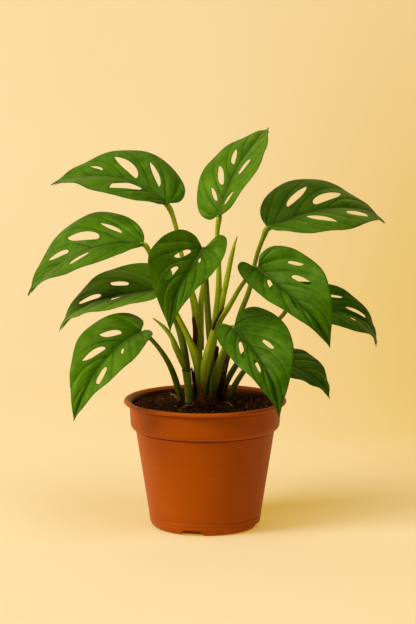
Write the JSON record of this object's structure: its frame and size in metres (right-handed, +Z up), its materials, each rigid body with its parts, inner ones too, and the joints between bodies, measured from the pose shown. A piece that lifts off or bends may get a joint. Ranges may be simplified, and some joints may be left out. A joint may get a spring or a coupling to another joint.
{
  "type": "potted monstera plant",
  "caption": "Small Swiss cheese plant with arching pointed leaves full of oval holes, growing in soil in a round terracotta-coloured plastic nursery pot with a rolled lip.",
  "frame": {"origin": "centre of the pot's flat underside, which rests on the floor", "axes": "+Z up along the pot's axis; -Y is the front, from which the plant shows best; +X to its right"},
  "size_m": [0.2682, 0.1441, 0.2897],
  "materials": {
    "pot_plastic": "satin moulded plastic, terracotta orange",
    "potting_soil": "damp, fibrous, matt",
    "stem": "green turning to brown bark",
    "leaf_stalk": "smooth, slightly glossy",
    "leaf_blade": "waxy, soft sheen",
    "young_leaf": "smooth, slightly glossy",
    "dried_sheath": "dry, papery",
    "surface_root": "dry, fibrous"
  },
  "bodies": {
    "root": {"pot": "pot_plastic", "soil": "potting_soil", "stem_left": "stem", "stem_middle": "stem", "stem_rear": "stem", "stem_right": "stem", "stalk_top_left": "leaf_stalk", "stalk_top": "leaf_stalk", "stalk_top_right": "leaf_stalk", "stalk_upper_left": "leaf_stalk", "stalk_lower_left": "leaf_stalk", "stalk_front": "leaf_stalk", "stalk_right_front": "leaf_stalk", "stalk_right_rear": "leaf_stalk", "stalk_low_front": "leaf_stalk", "stalk_low_right": "leaf_stalk", "stalk_low_left": "leaf_stalk", "leaf_top_left": "leaf_blade", "leaf_top": "leaf_blade", "leaf_top_right": "leaf_blade", "leaf_upper_left": "leaf_blade", "leaf_lower_left": "leaf_blade", "leaf_front": "leaf_blade", "leaf_right_front": "leaf_blade", "leaf_right_rear": "leaf_blade", "leaf_low_front": "leaf_blade", "leaf_low_right": "leaf_blade", "leaf_low_left": "leaf_blade", "new_leaf_tall": "young_leaf", "new_leaf_middle": "young_leaf", "new_leaf_small": "young_leaf", "sheath_left": "dried_sheath", "sheath_low": "dried_sheath", "sheath_right": "dried_sheath", "crown_husk": "dried_sheath", "root_front_left": "surface_root", "root_front_right": "surface_root", "root_rear": "surface_root"}
  },
  "joints": []
}
